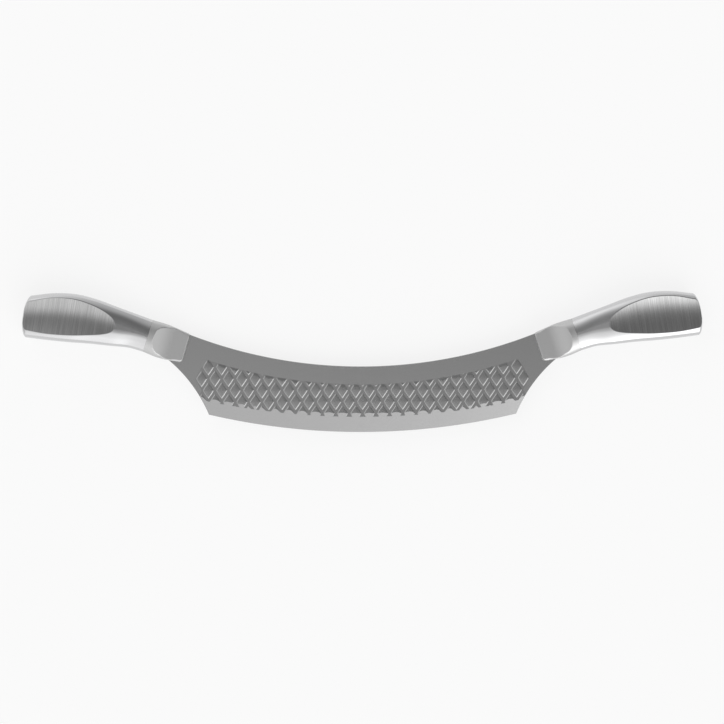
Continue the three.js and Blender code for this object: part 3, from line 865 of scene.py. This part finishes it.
def blade_outline():
    """The outline, counter-clockwise from the edge's left tip."""
    def under(along):
        centre, reach, _ = bolster_sizes(along)
        return centre - reach + ROOT_INSET

    def over(along):
        centre, reach, _ = bolster_sizes(along)
        return centre + reach - ROOT_INSET

    tip = (EDGE_LENGTH / 2, edge_height(EDGE_LENGTH / 2))
    root_end = SLOT_DEPTH - FIT
    tang_end = BOLSTER_LENGTH + SEAM_GAP + TANG_REACH
    right = arc_points(tip, bolster_point(HEEL_SEAT, under(HEEL_SEAT)), -HEEL_RADIUS, HEEL_STEPS)
    right.append(bolster_point(root_end, under(root_end)))
    right.append(bolster_point(root_end, -TANG_HEIGHT / 2))
    right.append(bolster_point(tang_end, -TANG_HEIGHT / 2))
    right.append(bolster_point(tang_end, TANG_HEIGHT / 2))
    right.append(bolster_point(root_end, TANG_HEIGHT / 2))
    top = [root_end * k / ROOT_STEPS for k in range(ROOT_STEPS, 0, -1)]
    right += [bolster_point(along, over(along)) for along in top]
    right.append(Vector((CHEEK_SPACING / 2, spine_height(CHEEK_SPACING / 2))))
    left = [Vector((-p.x, p.y)) for p in reversed(right)]
    edge = arc_points(left[-1], right[0], EDGE_RADIUS, ARC_STEPS)
    spine = arc_points(right[-1], left[0], -SPINE_RADIUS, ARC_STEPS)
    return edge[1:] + right[1:] + spine[1:] + left[1:]


def drawn_in(outline, distance):
    """The outline moved inwards by a distance, corner by corner."""
    moved = []
    for before, point, after in zip(outline[-1:] + outline[:-1], outline, outline[1:] + outline[:1]):
        normals = [Vector((-d.y, d.x)).normalized() for d in (point - before, after - point)]
        middle = (normals[0] + normals[1]).normalized()
        moved.append(point + middle * distance / middle.dot(normals[0]))
    return moved


def outline_prism(name):
    outline = blade_outline()
    half = BLADE_THICKNESS / 2
    levels = [(-half - SCALE_ROOM, SPINE_CHAMFER + SCALE_ROOM), (-half + SPINE_CHAMFER, 0)]
    levels += [(-z, inset) for z, inset in reversed(levels)]
    rings = [[(p.x, p.y, z) for p in drawn_in(outline, inset)] for z, inset in reversed(levels)]
    return ring_loft(name, rings, [satin], lambda i, j: 0)


print("outline:", len(blade_outline()), "points")

# %% Bevel wedge
EDGE_LAND = 0.24
BEVEL_DEPTH = 9.0
BEVEL_TAPER = 1.5  # the bevel is narrower by this much at the tips
SWEEP = np.radians(np.linspace(-30, 30, 181))  # angles of a tool that is swept along the edge or the band


def bevel_wedge():
    """The room between the two ground bevels: a wedge swept along the edge's arc."""
    tip_angle = math.asin(EDGE_LENGTH / 2 / EDGE_RADIUS)
    thick = EDGE_RADIUS / 2
    rings = []
    for angle in SWEEP:
        depth = BEVEL_DEPTH - BEVEL_TAPER * min(1, (angle / tip_angle) ** 2)
        slope = (BLADE_THICKNESS - EDGE_LAND) / 2 / depth
        sharp = EDGE_RADIUS + EDGE_LAND / 2 / slope
        half = slope * (sharp - thick)
        arm = Vector((math.sin(angle), -math.cos(angle)))
        corners = [(sharp, 0), (thick, half), (thick, -half)]
        rings.append([(r * arm.x, EDGE_RADIUS + r * arm.y, z) for r, z in corners])
    return ring_loft("wedge", rings, [ground], lambda i, j: 0)


print("bevel:", BEVEL_DEPTH, "mm deep")

# %% [markdown]
# The scales keep cheese from sticking: a staggered lattice of low domed diamonds, pressed into both faces
# and cut off along the plain band by the spine. One diamond is a small mesh with pointed ends, and
# Geometry Nodes place it: a grid of points with every other row shifted, the ones off the blade deleted,
# an instance on each, and a turned copy for the rear face. A ring-shaped tool then cuts the upper scales
# off, so that all of them end on the same arc.

# %% One scale
SCALE_PITCH = 7.9
SCALE_ROW_PITCH = 6.88
SCALE_ROWS = 5
SCALE_COLUMNS = 25
FIRST_ROW_HEIGHT = 11.0
SCALE_WIDTH = 6.5
SCALE_HEIGHT = 9.8
SCALE_SIDE_POWER = 1.15  # over 1 rounds the side corners and keeps the ends pointed
SCALE_WALL = 0.6
SCALE_RELIEF = 0.2
SCALE_DOME = 0.055  # how much higher the middle is than the brow of the wall
DOME_RING = 0.4  # where the ring on the dome lies, from the brow to the middle
SCALE_SIDE_STEPS = 4
SMOOTH_BAND = 10.6
SPINE_CENTRE = BLADE_DEPTH + SPINE_RADIUS  # height of the middle of the spine's arc
BAND_RADIUS = SPINE_RADIUS + SMOOTH_BAND
BAND_WALL = 1.1  # how wide the slope is that ends the upper scales


def scale_ring(grow, height):
    """A diamond with pointed ends and rounded sides, grown or shrunk, at a height over the plate's middle."""
    half_width = SCALE_WIDTH / 2 + grow
    half_height = half_width * SCALE_HEIGHT / SCALE_WIDTH
    quarter = [k / SCALE_SIDE_STEPS for k in range(SCALE_SIDE_STEPS)]
    ring = []
    back = [1 - t for t in quarter]
    for sx, sy, shares in ((1, -1, back), (1, 1, quarter), (-1, 1, back), (-1, -1, quarter)):
        for share in shares:
            side = half_width * (1 - share**SCALE_SIDE_POWER)
            ring.append((sx * side, sy * half_height * share, height))
    return ring


def scale_form():
    """One closed scale. Its foot is sunk in the plate, so that its wall rises out of the face."""
    top = BLADE_THICKNESS / 2 + SCALE_RELIEF
    sunk = SCALE_WALL / 2
    slope = SCALE_RELIEF / SCALE_WALL
    rings = [scale_ring(sunk, top - SCALE_RELIEF - slope * sunk), scale_ring(-SCALE_WALL, top)]
    inner = SCALE_WIDTH / 2 - SCALE_WALL
    rise = 1 - (1 - DOME_RING) ** 2
    rings.append(scale_ring(-SCALE_WALL - inner * DOME_RING, top + SCALE_DOME * rise))
    count = len(rings[0])
    points = [p for ring in rings for p in ring] + [(0, 0, top + SCALE_DOME)]
    faces = [tuple(range(count - 1, -1, -1))]
    for i in range(len(rings) - 1):
        for j in range(count):
            k = (j + 1) % count
            faces.append((i * count + j, i * count + k, (i + 1) * count + k, (i + 1) * count + j))
    last = (len(rings) - 1) * count
    faces += [(last + j, last + (j + 1) % count, len(points) - 1) for j in range(count)]
    # The scales take the pressed field's darker colour, which is painted shade.
    return mesh_object("scale_form", points, faces, [pressed])


form = scale_form()
print("scale:", len(form.data.polygons), "faces")


# %% Scale lattice nodes
def scale_lattice_tree():
    """A Geometry Nodes tree that covers both faces of the blade with scales."""
    tree = bpy.data.node_groups.new("scale_lattice", "GeometryNodeTree")
    inputs = {
        "Scale Form": "Object", "Columns": "Int", "Rows": "Int", "Pitch": "Float", "Row Pitch": "Float",
        "First Row": "Float", "Last Centre": "Float", "Spine Centre": "Float", "Band Radius": "Float",
        "Scale Height": "Float", "Finish": "Material",
    }
    for name, kind in inputs.items():
        tree.interface.new_socket(name, in_out="INPUT", socket_type="NodeSocket" + kind)
    tree.interface.new_socket("Geometry", in_out="OUTPUT", socket_type="NodeSocketGeometry")
    given = tree.nodes.new("NodeGroupInput").outputs
    result = tree.nodes.new("NodeGroupOutput")

    def position():
        split = tree.nodes.new("ShaderNodeSeparateXYZ")
        link(tree, tree.nodes.new("GeometryNodeInputPosition").outputs[0], split.inputs[0])
        return split.outputs[0], split.outputs[1]

    def vector(x, y, z):
        made = tree.nodes.new("ShaderNodeCombineXYZ")
        for socket, value in zip(made.inputs, (x, y, z)):
            if isinstance(value, (int, float)):
                socket.default_value = value
            else:
                link(tree, value, socket)
        return made.outputs[0]

    grid = tree.nodes.new("GeometryNodeMeshGrid")
    link(tree, given["Columns"], grid.inputs["Vertices X"])
    link(tree, given["Rows"], grid.inputs["Vertices Y"])
    for axis, count, pitch in (("Size X", "Columns", "Pitch"), ("Size Y", "Rows", "Row Pitch")):
        gaps = math_node(tree, "SUBTRACT", given[count], 1)
        link(tree, math_node(tree, "MULTIPLY", gaps, given[pitch]), grid.inputs[axis])

    x, y = position()
    half_rows = math_node(tree, "MULTIPLY_ADD", given["Rows"], 0.5, -0.5)
    rows_up = math_node(tree, "DIVIDE", y, given["Row Pitch"])
    row = math_node(tree, "ROUND", math_node(tree, "ADD", rows_up, half_rows))
    even = math_node(tree, "SUBTRACT", 1, math_node(tree, "MODULO", row, 2))
    shift_x = math_node(tree, "MULTIPLY", math_node(tree, "MULTIPLY", given["Pitch"], 0.5), even)
    half_span = math_node(tree, "MULTIPLY", half_rows, given["Row Pitch"])
    shift_y = math_node(tree, "ADD", half_span, given["First Row"])
    stagger = tree.nodes.new("GeometryNodeSetPosition")
    link(tree, grid.outputs["Mesh"], stagger.inputs["Geometry"])
    link(tree, vector(shift_x, shift_y, 0.0), stagger.inputs["Offset"])

    x, y = position()
    too_far = math_node(tree, "GREATER_THAN", math_node(tree, "ABSOLUTE", x), given["Last Centre"])
    foot = math_node(tree, "MULTIPLY_ADD", given["Scale Height"], -0.5, y)
    down = math_node(tree, "SUBTRACT", given["Spine Centre"], foot)
    squares = math_node(tree, "MULTIPLY_ADD", x, x, math_node(tree, "MULTIPLY", down, down))
    too_high = math_node(tree, "LESS_THAN", math_node(tree, "SQRT", squares), given["Band Radius"])
    trim = tree.nodes.new("GeometryNodeDeleteGeometry")
    link(tree, stagger.outputs["Geometry"], trim.inputs["Geometry"])
    link(tree, math_node(tree, "MAXIMUM", too_far, too_high), trim.inputs["Selection"])

    form_info = tree.nodes.new("GeometryNodeObjectInfo")
    link(tree, given["Scale Form"], form_info.inputs["Object"])
    copies = tree.nodes.new("GeometryNodeInstanceOnPoints")
    link(tree, trim.outputs["Geometry"], copies.inputs["Points"])
    link(tree, form_info.outputs["Geometry"], copies.inputs["Instance"])
    real = tree.nodes.new("GeometryNodeRealizeInstances")
    link(tree, copies.outputs["Instances"], real.inputs["Geometry"])

    behind = tree.nodes.new("GeometryNodeTransform")
    behind.inputs["Rotation"].default_value = (0, math.pi, 0)
    link(tree, real.outputs["Geometry"], behind.inputs["Geometry"])
    both = tree.nodes.new("GeometryNodeJoinGeometry")
    link(tree, real.outputs["Geometry"], both.inputs["Geometry"])
    link(tree, behind.outputs["Geometry"], both.inputs["Geometry"])
    solid = tree.nodes.new("GeometryNodeRealizeInstances")
    link(tree, both.outputs["Geometry"], solid.inputs["Geometry"])
    finish = tree.nodes.new("GeometryNodeSetMaterial")
    link(tree, solid.outputs["Geometry"], finish.inputs["Geometry"])
    link(tree, given["Finish"], finish.inputs["Material"])
    link(tree, finish.outputs["Geometry"], result.inputs["Geometry"])
    return tree


lattice_tree = scale_lattice_tree()
print("lattice tree:", len(lattice_tree.nodes), "nodes")


# %% Scale lattice
def spine_band():
    """The room over the plain band. Its lower border slopes and leaves a low wall on the scales it cuts."""
    half = BLADE_THICKNESS / 2
    rings = []
    for z in (half + SCALE_ROOM, half, -half, -half - SCALE_ROOM):
        radius = BAND_RADIUS + (abs(z) - half) * BAND_WALL / SCALE_RELIEF
        border = [(radius * math.sin(a), SPINE_CENTRE - radius * math.cos(a), z) for a in SWEEP]
        rings.append(border + [(border[-1][0], SPINE_CENTRE, z), (border[0][0], SPINE_CENTRE, z)])
    return ring_loft("spine_band", rings, [pressed], lambda i, j: 0)


def scale_lattice():
    """The scales of both faces as one plain mesh, in millimetres."""
    lattice = mesh_object("scale_lattice", [], [], [])
    modifier = lattice.modifiers.new("scales", "NODES")
    modifier.node_group = lattice_tree
    sizes = {
        "Scale Form": form, "Columns": SCALE_COLUMNS, "Rows": SCALE_ROWS, "Pitch": SCALE_PITCH,
        "Row Pitch": SCALE_ROW_PITCH, "First Row": FIRST_ROW_HEIGHT,
        "Last Centre": EDGE_LENGTH / 2 + SCALE_WIDTH, "Spine Centre": SPINE_CENTRE,
        "Band Radius": BAND_RADIUS, "Scale Height": SCALE_HEIGHT, "Finish": pressed,
    }
    for socket in lattice_tree.interface.items_tree:
        if socket.in_out == "INPUT":
            modifier[socket.identifier] = sizes[socket.name]
    made = bpy.data.meshes.new_from_object(lattice.evaluated_get(bpy.context.evaluated_depsgraph_get()))
    lattice.modifiers.remove(modifier)
    lattice.data = made
    return lattice


lattice = scale_lattice()
bpy.data.objects.remove(form)
combine(lattice, spine_band(), "DIFFERENCE")
print("lattice:", len(lattice.data.polygons), "faces")

# %% [markdown]
# The blade comes together as it would be made: the scales are joined to a slab, the slab is cut to the
# outline, and the grinding wedge takes off the bevels, which cut arches into the last row of scales. The
# pressed field is painted darker than the plain steel round it, as painted shade for its recesses. A mask
# in the material would do, but the slab's faces are split along the field's border, so that each part
# simply has its own material.

# %% Blade
SLAB_REACH = 200.0
SLAB_LOW, SLAB_HIGH = -10.0, 120.0
SLAB_STEPS = 160
FIELD_MARGIN = 0.6  # how far the pressed field goes past the outer scales


def field_border():
    """The pressed field's border: up its left end with the scales, along the band and down its right end."""
    end = []
    for row in range(1, SCALE_ROWS):
        centre = (SCALE_COLUMNS - 1 - (row + 1) % 2) / 2 * SCALE_PITCH
        corner = centre + SCALE_WIDTH / 2 + FIELD_MARGIN
        end.append((corner, FIRST_ROW_HEIGHT + row * SCALE_ROW_PITCH))
    reach = end[-1][0] - SCALE_WIDTH / 2
    places = np.linspace(-reach, reach, SLAB_STEPS + 1)
    arc = [(x, SPINE_CENTRE - math.sqrt(BAND_RADIUS**2 - x**2)) for x in places]
    end.insert(0, (end[0][0], SLAB_LOW))
    return [(-x, y) for x, y in end] + arc + end[::-1]


def plate_slab():
    """A slab over the whole blade whose two faces are split into the pressed field and the plain rest."""
    border = field_border()
    last = len(border) - 1
    right = [(SLAB_REACH, SLAB_LOW), (SLAB_REACH, SLAB_HIGH)]
    left = [(-SLAB_REACH, SLAB_HIGH), (-SLAB_REACH, SLAB_LOW)]
    flat = border + right + left
    count = len(flat)
    plain = list(range(count))
    field = list(range(last, -1, -1))
    rim = [0] + list(range(last, count))
    faces = [plain, field, [i + count for i in reversed(plain)], [i + count for i in reversed(field)]]
    faces += [(a + count, b + count, b, a) for a, b in zip(rim, rim[1:] + rim[:1])]
    half = BLADE_THICKNESS / 2
    points = [(x, y, z) for z in (half, -half) for x, y in flat]
    # The pressed field's faces take the darker colour, painted shade for its recesses; the rest is plain
    # satin.
    return mesh_object("blade_steel", points, faces, [satin, pressed], [0, 1, 0, 1] + [0] * len(rim))


blade = plate_slab()
combine(blade, lattice, "UNION")
combine(blade, outline_prism("outline"), "INTERSECT")
combine(blade, bevel_wedge(), "INTERSECT")
seat(blade, Matrix.Identity(4))
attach(blade, "root")
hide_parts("blade")
print("blade:", len(blade.data.polygons), "faces,", [m.name for m in blade.data.materials])

# %% [markdown]
# The filler cores fill the hollow handles round the tang and can't be seen from outside. They could be
# left out, but someone who takes the knife apart should find them, so the imported solids stay and only get
# their finish.

# %% Filler finish
for name in ("left_handle_core", "right_handle_core"):
    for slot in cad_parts[name].material_slots:
        slot.material = cast_filler
